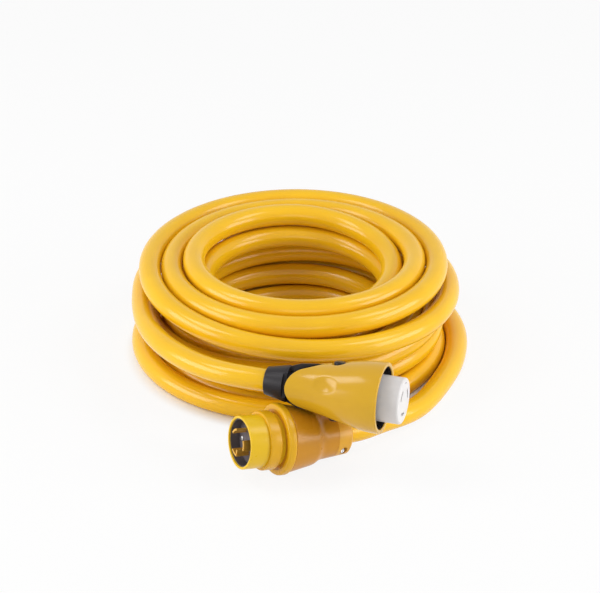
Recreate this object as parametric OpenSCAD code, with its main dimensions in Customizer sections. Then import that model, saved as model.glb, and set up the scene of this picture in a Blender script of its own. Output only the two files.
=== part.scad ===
// Shore power cord: a pile of loops of thick cable, a locking connector with two sprung jaws
// at its upper end and a sleeved plug at its lower end.
// Millimetres, +Z up. The pile and the plug stand on Z = 0 and the two ends lie on the -Y side.

/* [Cable] */
// Outside diameter of the cable
cable_d = 26; // [24:0.5:27]
// Clear gap between loops that lie beside or on each other
loop_gap = 0.8; // [0.6:0.1:2]
// Outside diameter of each insulated wire inside the cable
wire_d = 5; // [4:0.5:6]

/* [Coil] */
// Radius of the first, widest loop at the floor
first_loop_r = 203; // [198:1:212]
// Turns of the floor layer, from outside to inside
floor_turns = 3.66; // [3.5:0.02:3.8]
// Turns of the second layer, from inside to outside
second_turns = 2.92; // [2.8:0.02:3]
// Turns of the third layer, from outside to inside
third_turns = 2.5; // [2.4:0.02:2.6]
// Turns of the top layer, from inside to outside
top_turns = 2.75; // [2.6:0.05:2.8]
// Turns of the last loop, which lies one layer under the top on the outside
last_turns = 0.7; // [0.65:0.01:0.72]

/* [Connector] */
// Radius of the closed jaws at the mouth
mouth_r = 41.4; // [40:0.2:44]
// Radius of the jaws at the handles
handle_r = 26.6; // [26:0.2:28]
// Thickness of the jaw walls
jaw_wall = 3.2; // [2.6:0.1:3.6]
// Distance from the hinge to the mouth
mouth_x = 56; // [52:1:60]
// Distance from the hinge to the rounded end of the handles
handle_x = 56; // [54:0.5:58]
// Radius of the rounded end of each handle
handle_end_r = 24; // [22:0.5:24.5]
// Angle that each jaw opens
jaw_opening = 5; // [4:0.5:5]
// Radius of the round insert that carries the contacts
insert_r = 27; // [25:0.2:27.5]
// Distance from the hinge to the face of the insert
insert_x = 79; // [74:1:84]
// Radius of the hinge pins
hinge_pin_r = 4; // [3:0.25:4.5]
// Length of the strain relief behind the handles
relief_length = 30; // [26:1:36]

/* [Plug] */
// Outside radius of the sleeve round the blades
sleeve_r = 31; // [30.6:0.2:32]
// Thickness of the sleeve
sleeve_wall = 3; // [2.4:0.1:3.2]
// Depth of the face below the rim of the sleeve
face_depth = 13; // [11:1:16]
// Radius of the grip flange
flange_r = 42; // [40:0.5:42]
// Radius of the cover where its barrel ends
barrel_end_r = 34; // [33:0.5:34.5]
// Radius of the rear end of the neck, which holds the cable clamp
neck_r = 25; // [24:0.5:25.5]
// Length of the plug from its rim to the end of its neck
plug_length = 135; // [132:1:140]
// Radial thickness of the blades
blade_t = 2.4; // [2:0.1:2.8]
// Distance from the axis to the middle of the blades and their contacts
blade_circle_r = 15.5; // [15:0.1:16]

/* [Hidden] */
$fn = 64;
// Clearance round pieces that are fixed in a seat
seat_gap = 0.15;
// Clearance round a soft or loose piece
loose_gap = 0.3;
// Radial clearance of the jaws on their pins
running_gap = 0.05;
// Clearance of a pin or screw that is pressed or screwed in
press_gap = 0.02;
// Rings and sides of the loops of the coil, and sides of the straight leads
rings_per_turn = 24;
coil_sides = 6;
lead_sides = 10;
// Share of a turn in which the cable climbs from one layer to the next
climb_turns = 0.5;
// Step of each layer of the pile over the one below it, to the right and to the back
layer_step = [1.2, -1.5];
// Part of the cable that is pressed flat on the floor
floor_flat = cable_d / 10;

cable_r = cable_d / 2;
wire_r = wire_d / 2;
loop_pitch = cable_d + loop_gap;
floor_z = cable_r - floor_flat;

// Places of the coil and of the two ends on the floor
coil_center = [-3, 66.3];
coil_start_angle = -30;
connector_hinge = [43.5, -216.7, 99.5];
connector_yaw = 17;
connector_roll = 20;
plug_rim_xy = [-68.5, -248.7];
plug_yaw = 26;
plug_tilt = 9;

// Points that the two free leads pass, chosen by hand
connector_route = [
    [-195.5, 61, 90.5], [-193.5, 13, 89.5], [-182.5, -44, 89.5], [-156.5, -100, 91], [-120.5, -145, 94],
    [-82.5, -175, 98]
];
plug_route = [[91.5, -159, 24], [117.5, -136, 18], [143.5, -104, 13]];

// Inside measures of the connector, along its axis from the hinge
flare_start_x = -45;
flare_end_x = 50;
outline_slope = 18;
core_tail_x = -55;
core_drum_x = -14;
core_drum_r = 23;
core_flange_x = 14;
core_flange_t = 6;
base_pocket_x = core_flange_x + 2;
insert_root_x = core_flange_x + core_flange_t;
insert_root_t = 3.5;
insert_edge = 2.5;
gasket_t = 4;
flange_clear = 0.4;
gasket_seat_depth = 0.3;
root_flange_r = jaw_r(core_flange_x) - jaw_wall - flange_clear;
carrier_screw_r = 1.2;
carrier_screw_head_t = 1.6;
carrier_screw_angles = [60, 180, 300];
core_wall = 1.9;
cable_end_x = -44;
spine_w = 8;
spine_tip_w = 0.8;
spine_tip_x = -17;
handle_clear = 0.4;
swing_slack = 0.3;
spring_x = -34;
spring_r = 4.4;
spring_wire_r = 0.6;
spring_curls = 4;
spring_inner_y = cable_r + loose_gap + core_wall;
ear_r = 9;
ear_t = 3;
ear_gap = 0.3;
boss_z = core_drum_r + 0.7;
notch_r = ear_r + 1;
dish_x = -16;
dish_turn = 20;
dish_r = 40;
dish_depth = 1.8;
lip_depth = 1.6;
lip_length = 6;
parting_gap = 1;
slot_w = blade_t + 1;
contact_leaf_t = 1.4;
contact_w = slot_w + 2 * contact_leaf_t;
contact_arc = 26;
stub_r = 2.6;
chamber_r = blade_circle_r + stub_r + 0.5;
screw_r = 1.5;
insert_face_t = 7;
flange_screw_circle_r = root_flange_r - 3.2;
connector_bore_r = cable_r + loose_gap;

// Inside measures of the plug, along its axis from the rim
flange_x = -44;
flange_t = 10;
flange_edge = 1.6;
rim_edge = 0.8;
ring_x = -24;
ring_length = 14.5;
ring_rise = 3.4;
ring_seat_depth = 0.4;
shoulder_x = flange_x - 8;
shoulder_t = 3;
shoulder_r = 21;
cavity_r = 24;
cavity_end_x = -78;
plate_t = 3.6;
blade_tip_x = 3;
blade_root_x = -61;
saddle_length = 19;
seal_length = 6.5;
seal_r = 17.8;
seal_setback = 3.5;
cable_end_lead = 8;
neck_lead = 10;
neck_end_x = -plug_length;
saddle_x = neck_end_x + saddle_length;
seal_x = saddle_x + seal_length + seal_setback;
plug_cable_end_x = seal_x + cable_end_lead;
neck_x = seal_x + neck_lead;
clamp_screw_z = 18.2;
clamp_seat_y = 11.8;
clamp_turn = 20;
clamp_screw_length = 20;
clamp_bore_spare = 1.8;
face_screw_circle_r = 18.8;
blade_arc = 22;

// The plug stands on the floor with the rear edge of its flange
flange_back_x = flange_x - flange_t + flange_edge;
plug_rim = [plug_rim_xy.x, plug_rim_xy.y, flange_r * cos(plug_tilt) - flange_back_x * sin(plug_tilt)];

// Small helpers

function unit(v) = v / norm(v);
function clamp01(t) = min(1, max(0, t));
function smooth(t) = let (c = clamp01(t)) c * c * (3 - 2 * c);
function turn_z(v, a) = [v.x * cos(a) - v.y * sin(a), v.x * sin(a) + v.y * cos(a), v.z];
function turn_y(v, a) = [v.x * cos(a) + v.z * sin(a), v.y, v.z * cos(a) - v.x * sin(a)];
function around(r, a) = [r * cos(a), r * sin(a)];

// Running total of the first n entries of a list
function total(list, n) = n == 0 ? 0 : list[n - 1] + total(list, n - 1);

// A point on the axis of the connector or of the plug, in the frame of the part
function on_connector(x) = connector_hinge + turn_z([x, 0, 0], -connector_yaw);
function on_plug(x) = plug_rim + turn_z(turn_y([x, 0, 0], -plug_tilt), 180 + plug_yaw);

module at_connector()
    translate(connector_hinge)
        rotate([0, 0, -connector_yaw])
            rotate([-connector_roll, 0, 0])
                children();

module at_plug()
    translate(plug_rim)
        rotate([0, 0, 180 + plug_yaw])
            rotate([0, -plug_tilt, 0])
                children();

// A profile of [radius, x] points turned round the X axis
module spun(profile)
    rotate([0, 90, 0])
        rotate_extrude()
            polygon(profile);

// A ring or disc round the X axis
module washer(x0, x1, outer, inner = 0)
    spun([[inner, x0], [outer, x0], [outer, x1], [inner, x1]]);

// A rod along X at a distance and an angle from the axis
module rod(x0, x1, r, circle_r = 0, angle = 0)
    translate([x0, circle_r * cos(angle), circle_r * sin(angle)])
        rotate([0, 90, 0])
            cylinder(r = r, h = x1 - x0);

// A curved wall round the X axis, thick along the radius, that spans the angle on both sides of its middle
module arc_wall(x0, x1, middle_r, thick, half_angle, angle)
    rotate([angle - half_angle, 0, 0])
        rotate([0, 90, 0])
            rotate([0, 0, 90])
                rotate_extrude(angle = 2 * half_angle)
                    polygon([
                        [middle_r - thick / 2, x0], [middle_r + thick / 2, x0],
                        [middle_r + thick / 2, x1], [middle_r - thick / 2, x1]
                    ]);

// Direction of a route at each of its points
function heading(points, i, first, last) =
    i == 0 ? first : i == len(points) - 1 ? last : unit(points[i + 1] - points[i - 1]);

// Points of one ring of a tube, square to its heading
function ring(p, dir, r, sides, up) =
    let (side = unit(cross(dir, up)), top = cross(side, dir))
    [for (k = [0 : sides - 1]) p + r * (cos(360 * k / sides) * side + sin(360 * k / sides) * top)];

// A round tube along a route, closed at both ends, made of triangles
module tube(points, r, sides, first, last, up = [0, 0, 1]) {
    rings = len(points);
    dirs = [for (i = [0 : rings - 1]) heading(points, i, first, last)];
    polyhedron(
        points = [for (i = [0 : rings - 1]) each ring(points[i], dirs[i], r, sides, up)],
        faces = concat(
            [for (k = [1 : sides - 2]) [0, k + 1, k]],
            [for (i = [0 : rings - 2], k = [0 : sides - 1])
                let (a = i * sides + k, b = i * sides + (k + 1) % sides)
                each [[a, b, b + sides], [a, b + sides, a + sides]]],
            [for (k = [1 : sides - 2]) let (e = (rings - 1) * sides) [e, e + k, e + k + 1]]
        )
    );
}

// Everything below the floor
module below_floor() {
    reach = 3 * first_loop_r;
    translate([-reach, -reach, -cable_d])
        cube([2 * reach, 2 * reach, cable_d]);
}

// The pile of loops: in, out and in again on three layers, once round the inside, out over the top
// and once more round the outside. Each climb takes half a turn.

layer_turns = [floor_turns, second_turns, third_turns, 1, top_turns, last_turns];
layer_drift = [-1, 1, -1, 0, 1, 0];
layer_climb = [1, 1, 1, 1, -1];
layer_count = len(layer_turns);
coil_turns = total(layer_turns, layer_count);
turn_ends = [for (n = [0 : layer_count]) total(layer_turns, n)];
drift_steps = [for (n = [0 : layer_count - 1]) layer_turns[n] * layer_drift[n] * loop_pitch];
radius_knots = [for (n = [0 : layer_count]) [turn_ends[n], first_loop_r + total(drift_steps, n)]];
middle_layer = 2;

function climb_share(u, n) = layer_climb[n] * clamp01((u - turn_ends[n + 1]) / climb_turns + 0.5);
function coil_layer(u) = total([for (n = [0 : layer_count - 2]) climb_share(u, n)], layer_count - 1);
function coil_point(u) =
    let (a = coil_start_angle + 360 * u, r = lookup(u, radius_knots), layer = coil_layer(u))
    [
        coil_center.x + r * cos(a) + layer_step.x * (layer - middle_layer),
        coil_center.y + r * sin(a) + layer_step.y * (layer - middle_layer),
        floor_z + loop_pitch * layer
    ];

coil_ring_count = floor(coil_turns * rings_per_turn);
coil_loops = [for (k = [0 : coil_ring_count]) coil_point(coil_turns * k / coil_ring_count)];
coil_first_dir = turn_z([0, 1, 0], coil_start_angle);
coil_last_dir = turn_z([0, 1, 0], coil_start_angle + 360 * coil_turns);
coil_first = coil_loops[0] - cable_d * coil_first_dir;
coil_last = coil_loops[coil_ring_count] + cable_d * coil_last_dir;
coil_path = concat([coil_first], coil_loops, [coil_last]);

// Least clear distance between loops, measured on the rings that are more than a third of a turn apart
apart = rings_per_turn / 3;
least_gap = min([
    for (i = [0 : coil_ring_count - apart], k = [i + apart : coil_ring_count])
        norm(coil_loops[i] - coil_loops[k])
]) - cable_d;
echo(least_gap_between_loops = least_gap, coil_turns = coil_turns);

module cable_coil()
    color("gold")
        difference() {
            tube(coil_path, cable_r, coil_sides, coil_first_dir, coil_last_dir);
            below_floor();
        }

// The free lead from the end of the pile into the rear of the connector

connector_axis = turn_z([1, 0, 0], -connector_yaw);
connector_path = concat(
    [coil_last],
    connector_route,
    [on_connector(core_tail_x - relief_length), on_connector(cable_end_x)]
);

module connector_lead()
    color("gold")
        tube(connector_path, cable_r, lead_sides, coil_last_dir, connector_axis);

// The free lead from the rear of the plug to the start of the pile

plug_axis = unit(on_plug(1) - plug_rim);
plug_path = concat(
    [on_plug(plug_cable_end_x), on_plug(-plug_length - cable_d)],
    plug_route,
    [coil_first]
);

module plug_lead()
    color("gold")
        difference() {
            tube(plug_path, cable_r, lead_sides, -plug_axis, coil_first_dir);
            below_floor();
        }

// Connector: black inner body with the hinge bosses and the spine between the handles

core_tail_r = connector_bore_r + core_wall;
relief_end_x = core_tail_x - relief_length;
core_end_x = core_tail_x - relief_length / 2;

module both_ends_of_hinge()
    for (side = [0, 180])
        rotate([side, 0, 0])
            children();

// Half of the width of the spine, which tapers towards the hinge, and of the gap left for it
function spine_half(x) = lookup(x, [[core_tail_x, spine_w / 2], [spine_tip_x, spine_tip_w / 2]]);
function handle_gap(x) = spine_half(x) + handle_clear - x * tan(jaw_opening + swing_slack);

// A plan with the same half width on both sides of the axis at each of two places
module tapered_plan(x0, half0, x1, half1)
    polygon([[x0, -half0], [x1, -half1], [x1, half1], [x0, half0]]);

module spine()
    intersection() {
        rotate([90, 0, 0])
            linear_extrude(spine_w, center = true)
                polygon([
                    [core_tail_x + 2, core_tail_r - 1], [core_tail_x + 2, core_tail_r + 4],
                    [core_tail_x + 9, handle_r - 1], [spine_tip_x, jaw_r(spine_tip_x) - 0.6],
                    [spine_tip_x, core_drum_r - 3]
                ]);
        linear_extrude(2 * handle_r)
            tapered_plan(core_tail_x, spine_half(core_tail_x), spine_tip_x, spine_half(spine_tip_x));
    }

module core_body() {
    spun([
        [0, core_end_x], [core_tail_r, core_end_x], [core_tail_r, core_tail_x], [core_drum_r, core_drum_x],
        [core_drum_r, core_flange_x], [root_flange_r, core_flange_x], [root_flange_r, insert_root_x],
        [0, insert_root_x]
    ]);
    both_ends_of_hinge() {
        spine();
        cylinder(r = hinge_pin_r + 3, h = boss_z);
    }
}

module core_hollow() {
    base_r = insert_r - 2.4;
    spun([
        [0, core_end_x - 1], [connector_bore_r, core_end_x - 1], [connector_bore_r, spring_x + 8],
        [chamber_r, core_drum_x], [chamber_r, base_pocket_x], [base_r, base_pocket_x],
        [base_r, insert_root_x + 1], [0, insert_root_x + 1]
    ]);
    both_ends_of_hinge() {
        translate([0, 0, chamber_r - 3])
            cylinder(r = hinge_pin_r + press_gap, h = boss_z);
        translate([spring_x, -spring_inner_y, 0])
            rotate([90, 0, 0])
                cylinder(r = spring_r + spring_wire_r + loose_gap, h = core_drum_r);
    }
    for (a = carrier_screw_angles)
        rod(core_flange_x - 1, insert_root_x + 1, carrier_screw_r + seat_gap, flange_screw_circle_r, a);
}

module connector_core()
    color("dimgray")
        at_connector()
            difference() {
                core_body();
                core_hollow();
            }

// Tapered rubber sleeve at the rear of the connector, flat where the handles swing in

module strain_relief() {
    rear_r = cable_r + 3.2;
    front_r = handle_end_r - 3.6;
    flat_y = core_tail_r + 0.6;
    flat_x = handle_x + 5.5;
    front_x = core_tail_x - 2;
    color("black")
        at_connector()
            difference() {
                spun([
                    [connector_bore_r, relief_end_x], [rear_r - 0.8, relief_end_x],
                    [rear_r, relief_end_x + 0.8], [front_r, front_x - 3], [front_r - 1, front_x],
                    [core_tail_r + seat_gap, front_x], [core_tail_r + seat_gap, core_end_x - seat_gap],
                    [connector_bore_r, core_end_x - seat_gap]
                ]);
                both_ends_of_hinge()
                    translate([-flat_x, flat_y, -handle_end_r])
                        cube([handle_x, handle_end_r, 2 * handle_end_r]);
            }
}

// White insert with three curved slots in its face and a pocket for a contact behind each

contact_angles = [30, 150];
neutral_angle = 270;
all_contact_angles = concat(contact_angles, [neutral_angle]);
ground_w = 8;
ground_t = 1.4;
ground_z = insert_r - 6.4;
pocket_end_x = insert_x - insert_face_t;
gasket_x = insert_root_x + insert_root_t;
carrier_screw_seat_x = insert_root_x + 1.6;

module contact_carrier() {
    edge_r = insert_r - insert_edge;
    edge_x = insert_x - insert_edge;
    color("white")
        at_connector()
            difference() {
                spun(concat(
                    [[0, insert_root_x], [root_flange_r, insert_root_x], [root_flange_r, gasket_x],
                        [insert_r - gasket_seat_depth, gasket_x],
                        [insert_r - gasket_seat_depth, gasket_x + gasket_t],
                        [insert_r, gasket_x + gasket_t]],
                    [for (a = [0 : 15 : 90]) [edge_r + insert_edge * cos(a), edge_x + insert_edge * sin(a)]],
                    [[0, insert_x]]
                ));
                for (a = all_contact_angles) {
                    arc_wall(insert_root_x - 1, pocket_end_x, blade_circle_r, contact_w + 2 * loose_gap,
                        contact_arc + 1.5, a);
                    arc_wall(pocket_end_x - 1, insert_x + 1, blade_circle_r, slot_w, blade_arc + 2, a);
                }
                for (a = carrier_screw_angles) {
                    rod(insert_root_x - 1, gasket_x + 1, carrier_screw_r + seat_gap,
                        flange_screw_circle_r, a);
                    rod(carrier_screw_seat_x, gasket_x + 1, 2 * carrier_screw_r, flange_screw_circle_r, a);
                }
                translate([insert_root_x - 1, -ground_w / 2 - seat_gap, ground_z - seat_gap])
                    cube([
                        pocket_end_x - insert_root_x + 1, ground_w + 2 * seat_gap, ground_t + 2 * seat_gap
                    ]);
                translate([pocket_end_x - 1, -ground_w / 3, ground_z])
                    cube([insert_face_t + 2, 2 * ground_w / 3, ground_t]);
            }
}

// Plate that closes the back of the insert and lets the terminals through

base_x = base_pocket_x + seat_gap;

module carrier_base()
    color("gray")
        at_connector()
            difference() {
                washer(base_x, insert_root_x - seat_gap, insert_r - 2.4 - seat_gap);
                for (a = all_contact_angles)
                    rod(base_x - 1, insert_root_x, stub_r + seat_gap, blade_circle_r, a);
            }

// Brass clip with two leaves, closed at the back, and the stub that takes the terminal screw

stub_end_x = core_flange_x - 5;
terminal_head_t = 2;
terminal_screw_length = 5;

module contact(angle) {
    leaf_r = (slot_w + contact_leaf_t) / 2;
    back_x = insert_root_x + 0.3;
    difference() {
        union() {
            arc_wall(back_x, back_x + 2, blade_circle_r, contact_w, contact_arc, angle);
            for (side = [-1, 1])
                arc_wall(back_x, pocket_end_x - loose_gap, blade_circle_r + side * leaf_r, contact_leaf_t,
                    contact_arc, angle);
            rod(stub_end_x, back_x + 1, stub_r, blade_circle_r, angle);
        }
        rod(stub_end_x - 1, stub_end_x + terminal_screw_length + 1, screw_r + press_gap,
            blade_circle_r, angle);
    }
}

module line_contacts()
    color("goldenrod")
        at_connector()
            for (a = contact_angles)
                contact(a);

module neutral_contact()
    color("goldenrod")
        at_connector()
            contact(neutral_angle);

// Slotted earth strip in a pocket near the top of the insert

module ground_clip() {
    length = pocket_end_x - insert_root_x - 3;
    slot_end = ground_w;
    color("silver")
        at_connector()
            translate([insert_root_x, -ground_w / 2, ground_z])
                difference() {
                    cube([length, ground_w, ground_t]);
                    translate([slot_end, 0.35 * ground_w, -1])
                        cube([length - 2 * slot_end, 0.3 * ground_w, ground_t + 2]);
                }
}

// A screw along X: round head with a cross recess and a plain shank behind it
module pan_screw(length, shank_r, head_r, head_t)
    difference() {
        union() {
            spun([[0, -head_t], [head_r, -head_t], [head_r, -head_t / 2], [head_r * 0.7, 0], [0, 0]]);
            rod(-head_t - length, -head_t, shank_r);
        }
        for (a = [0, 90])
            rotate([a, 0, 0])
                translate([-head_t / 2, -head_r * 0.6, -head_r * 0.1])
                    cube([head_t, head_r * 1.2, head_r * 0.2]);
    }

module connector_terminal_screws()
    color("silver")
        at_connector()
            for (a = all_contact_angles)
                rotate([a, 0, 0])
                    translate([stub_end_x - terminal_head_t, blade_circle_r, 0])
                        mirror([1, 0, 0])
                            pan_screw(terminal_screw_length, screw_r, stub_r, terminal_head_t);

module carrier_screws()
    color("silver")
        at_connector()
            for (a = carrier_screw_angles)
                rotate([a, 0, 0])
                    translate([carrier_screw_seat_x + carrier_screw_head_t, flange_screw_circle_r, 0])
                        pan_screw(carrier_screw_seat_x - core_flange_x, carrier_screw_r,
                            1.8 * carrier_screw_r, carrier_screw_head_t);

// Rubber ring at the root of the insert, against which the mating rim closes

module face_gasket()
    color("black")
        at_connector()
            washer(gasket_x + seat_gap / 2, gasket_x + gasket_t,
                root_flange_r - 0.5, insert_r - gasket_seat_depth + seat_gap);

// The two jaws are the same piece, turned half round the axis of the connector.
// Each is half of a flared shell, with its handle cut to a teardrop and two ears on the hinge.

function flare(x) = smooth((x - flare_start_x) / (flare_end_x - flare_start_x));
function jaw_r(x) = handle_r + (mouth_r - handle_r) * flare(x);
jaw_steps = 16;
jaw_back_x = -handle_x - 4;
jaw_xs = [for (k = [0 : jaw_steps]) jaw_back_x + (mouth_x - jaw_back_x) * k / jaw_steps];

module jaw_shape(inset)
    spun(concat(
        [[0, jaw_back_x]],
        [for (x = jaw_xs) [jaw_r(x) - inset, x]],
        [[0, mouth_x]]
    ));

module jaw_shell()
    difference() {
        jaw_shape(0);
        difference() {
            jaw_shape(jaw_wall);
            washer(mouth_x - lip_length, mouth_x, mouth_r, mouth_r - jaw_wall - lip_depth);
        }
        washer(mouth_x - lip_length - 1, mouth_x + 1, mouth_r - jaw_wall - lip_depth);
        washer(jaw_back_x - 1, jaw_back_x + 1, handle_r - jaw_wall);
        washer(mouth_x - 1.2, mouth_x + 1, mouth_r + 5, mouth_r - 0.8);
    }

// Outline of the near side: a round handle end that widens along two straight flanks
module teardrop() {
    center_x = handle_end_r - handle_x;
    touch = [center_x - handle_end_r * sin(outline_slope), handle_end_r * cos(outline_slope)];
    wide_x = 2;
    wide_z = touch.y + (wide_x - touch.x) * tan(outline_slope);
    rotate([90, 0, 0])
        linear_extrude(4 * mouth_r, center = true)
            union() {
                translate([center_x, 0])
                    circle(handle_end_r);
                polygon([
                    [touch.x, -touch.y], [wide_x, -wide_z], [wide_x, -2 * mouth_r],
                    [mouth_x + 1, -2 * mouth_r], [mouth_x + 1, 2 * mouth_r], [wide_x, 2 * mouth_r],
                    [wide_x, wide_z], touch
                ]);
            }
}

// An ear round the hinge with the web that joins it to the near shell
module ear(z0)
    translate([0, 0, z0]) {
        cylinder(r = ear_r, h = ear_t);
        translate([-ear_r, -core_drum_r, 0])
            cube([2 * ear_r, core_drum_r, ear_t]);
    }

// The gap between the two handles, wide enough for the spine when the handles are pressed
module handle_slot()
    translate([0, 0, -2 * mouth_r])
        linear_extrude(4 * mouth_r)
            tapered_plan(jaw_back_x - 1, handle_gap(jaw_back_x - 1), 0, handle_gap(0));

inner_ear_z = boss_z + ear_gap;
outer_ear_z = inner_ear_z + ear_t + ear_gap;

module jaw()
    difference() {
        union() {
            difference() {
                intersection() {
                    jaw_shell();
                    teardrop();
                }
                translate([jaw_back_x - 1, -parting_gap / 2, -2 * mouth_r])
                    cube([4 * mouth_r, 4 * mouth_r, 4 * mouth_r]);
                translate([0, 0, -2 * mouth_r])
                    cylinder(r = notch_r, h = 4 * mouth_r);
                handle_slot();
                rotate([-dish_turn, 0, 0])
                    translate([dish_x, -jaw_r(dish_x) - dish_r + dish_depth, 0])
                        sphere(r = dish_r);
            }
            intersection() {
                union() {
                    ear(outer_ear_z);
                    ear(-inner_ear_z - ear_t);
                }
                jaw_shape(jaw_wall / 2);
            }
            intersection() {
                translate([spring_x, -handle_r + jaw_wall + 2, 0])
                    rotate([90, 0, 0])
                        cylinder(r = spring_r - spring_wire_r - loose_gap, h = jaw_wall);
                jaw_shape(jaw_wall / 2);
            }
        }
        translate([0, 0, -2 * mouth_r])
            cylinder(r = hinge_pin_r + running_gap, h = 4 * mouth_r);
    }

module jaw_near()
    color("orange")
        at_connector()
            jaw();

module jaw_far()
    color("orange")
        at_connector()
            rotate([180, 0, 0])
                jaw();

// Black stub pins with a broad head over the outer ear

module hinge_pins() {
    head_z = outer_ear_z + ear_t + ear_gap;
    head_t = 4;
    color("black")
        at_connector()
            both_ends_of_hinge() {
                translate([0, 0, chamber_r + 1])
                    cylinder(r = hinge_pin_r, h = head_z - chamber_r);
                translate([0, 0, head_z])
                    rotate_extrude()
                        polygon([[0, 0], [hinge_pin_r + 3, 0], [hinge_pin_r + 3, head_t - 1.5],
                            [hinge_pin_r + 1.5, head_t], [0, head_t]]);
            }
}

// Compression spring between the core and one handle

spring_start_y = spring_inner_y + spring_wire_r + 0.1;
spring_end_y = handle_r - jaw_wall - spring_wire_r - 0.3;
spring_steps = 8 * spring_curls;
spring_points = [
    for (k = [0 : spring_steps])
        let (a = 360 * k * spring_curls / spring_steps)
        [
            spring_x + spring_r * cos(a),
            -spring_start_y - (spring_end_y - spring_start_y) * k / spring_steps,
            spring_r * sin(a)
        ]
];
spring_rise = -(spring_end_y - spring_start_y) / spring_curls;
spring_dir = unit([0, spring_rise, 2 * PI * spring_r]);

module jaw_spring()
    tube(spring_points, spring_wire_r, 6, spring_dir, spring_dir, [0, 1, 0]);

module spring_near()
    color("silver")
        at_connector()
            jaw_spring();

module spring_far()
    color("silver")
        at_connector()
            rotate([180, 0, 0])
                jaw_spring();

// Wires from the end of the cable to the terminals, in the frame of the connector or of the plug

module wire(start_x, end_x, end_r, angle) {
    start_r = 1.3 * wire_d;
    points = [
        for (share = [0, 0.3, 0.5, 0.7, 1])
            let (r = start_r + (end_r - start_r) * smooth((share - 0.2) / 0.6))
            [start_x + (end_x - start_x) * share, r * cos(angle), r * sin(angle)]
    ];
    dir = [sign(end_x - start_x), 0, 0];
    tube(points, wire_r, 8, dir, dir);
}

module connector_wires()
    color("firebrick")
        at_connector()
            for (a = all_contact_angles)
                wire(cable_end_x + 0.1, stub_end_x - terminal_head_t - 0.1, blade_circle_r - 0.6, a);

// Plug: rear cover with a nose for the flange, a slightly tapered barrel, a step to the neck
// and half of the cable clamp

barrel_start_x = flange_x - flange_t;
barrel_end_x = neck_x + 8;
neck_front_r = neck_r + 4;
nose_r = sleeve_r + 4;
sleeve_seat_r = sleeve_r - ring_seat_depth + seat_gap;
plug_bore_r = cable_r + loose_gap;

module plug_cover_body()
    spun([
        [0, flange_x], [nose_r, flange_x], [nose_r, barrel_start_x], [flange_r - flange_edge, barrel_start_x],
        [barrel_end_r, barrel_end_x], [neck_front_r, neck_x], [neck_r, neck_end_x + 2],
        [neck_r - 2, neck_end_x], [0, neck_end_x]
    ]);

module plug_cover_hollow()
    spun([
        [0, flange_x + 1], [sleeve_seat_r, flange_x + 1], [sleeve_seat_r, shoulder_x],
        [shoulder_r, shoulder_x], [shoulder_r, shoulder_x - shoulder_t],
        [cavity_r, shoulder_x - shoulder_t], [cavity_r, cavity_end_x],
        [plug_bore_r, plug_cable_end_x], [plug_bore_r, seal_x + seat_gap],
        [seal_r + seat_gap, seal_x + seat_gap], [seal_r + seat_gap, seal_x - seal_length - seat_gap],
        [plug_bore_r, seal_x - seal_length - seat_gap], [plug_bore_r, neck_end_x - 1], [0, neck_end_x - 1]
    ]);

module plug_cover()
    color("orange")
        at_plug()
            difference() {
                plug_cover_body();
                plug_cover_hollow();
                rotate([clamp_turn, 0, 0]) {
                    translate([neck_end_x - 1, 0, -flange_r])
                        cube([saddle_length + 1 + seat_gap, flange_r, 2 * flange_r]);
                    for (side = [-1, 1])
                        translate([saddle_x - saddle_length / 2, 1, side * clamp_screw_z])
                            rotate([90, 0, 0])
                                cylinder(r = screw_r + seat_gap,
                                    h = 1 + clamp_screw_length + clamp_bore_spare - clamp_seat_y);
                }
            }

// Bright flange with a rounded front edge, which sits on the nose of the cover

module grip_flange() {
    edge = 3;
    color("yellow")
        at_plug()
            spun(concat(
                [[nose_r + seat_gap, flange_x], [flange_r - edge, flange_x]],
                [for (a = [75 : -15 : 0]) [flange_r - edge + edge * cos(a), flange_x - edge + edge * sin(a)]],
                [[flange_r, flange_back_x], [flange_r - flange_edge, barrel_start_x + seat_gap],
                    [nose_r + seat_gap, barrel_start_x + seat_gap]]
            ));
}

// Near half of the cable clamp

module clamp_saddle()
    color("darkorange")
        at_plug()
            rotate([clamp_turn, 0, 0])
                difference() {
                    intersection() {
                        plug_cover_body();
                        translate([neck_end_x - 1, loose_gap, -flange_r])
                            cube([saddle_length + 1 - seat_gap, flange_r, 2 * flange_r]);
                    }
                    washer(neck_end_x - 1, saddle_x + 1, plug_bore_r);
                    for (side = [-1, 1])
                        translate([saddle_x - saddle_length / 2, clamp_seat_y, side * clamp_screw_z])
                            rotate([90, 0, 0]) {
                                cylinder(r = screw_r + seat_gap, h = flange_r, center = true);
                                mirror([0, 0, 1])
                                    cylinder(r = 2.8 * screw_r, h = flange_r);
                            }
                }

clamp_head_t = 2.4;

module clamp_screws()
    color("dimgray")
        at_plug()
            rotate([clamp_turn, 0, 0])
                for (side = [-1, 1])
                    translate([saddle_x - saddle_length / 2, clamp_seat_y + clamp_head_t,
                        side * clamp_screw_z])
                        rotate([0, 0, 90])
                            pan_screw(clamp_screw_length, screw_r, 2.4 * screw_r, clamp_head_t);

// Sleeve round the blades, with its thin metal liner and the raised ring behind its rim

module plug_sleeve()
    color("yellow")
        at_plug()
            spun([
                [sleeve_r - sleeve_wall, shoulder_x + seat_gap],
                [sleeve_r - ring_seat_depth, shoulder_x + seat_gap], [sleeve_r - ring_seat_depth, ring_x],
                [sleeve_r, ring_x], [sleeve_r, -rim_edge], [sleeve_r - rim_edge, 0],
                [sleeve_r - sleeve_wall + rim_edge, 0], [sleeve_r - sleeve_wall, -rim_edge]
            ]);

liner_t = 0.9;
liner_r = sleeve_r - sleeve_wall - seat_gap;

module ground_liner()
    color("silver")
        at_plug()
            washer(shoulder_x + seat_gap, -2, liner_r, liner_r - liner_t);

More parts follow.
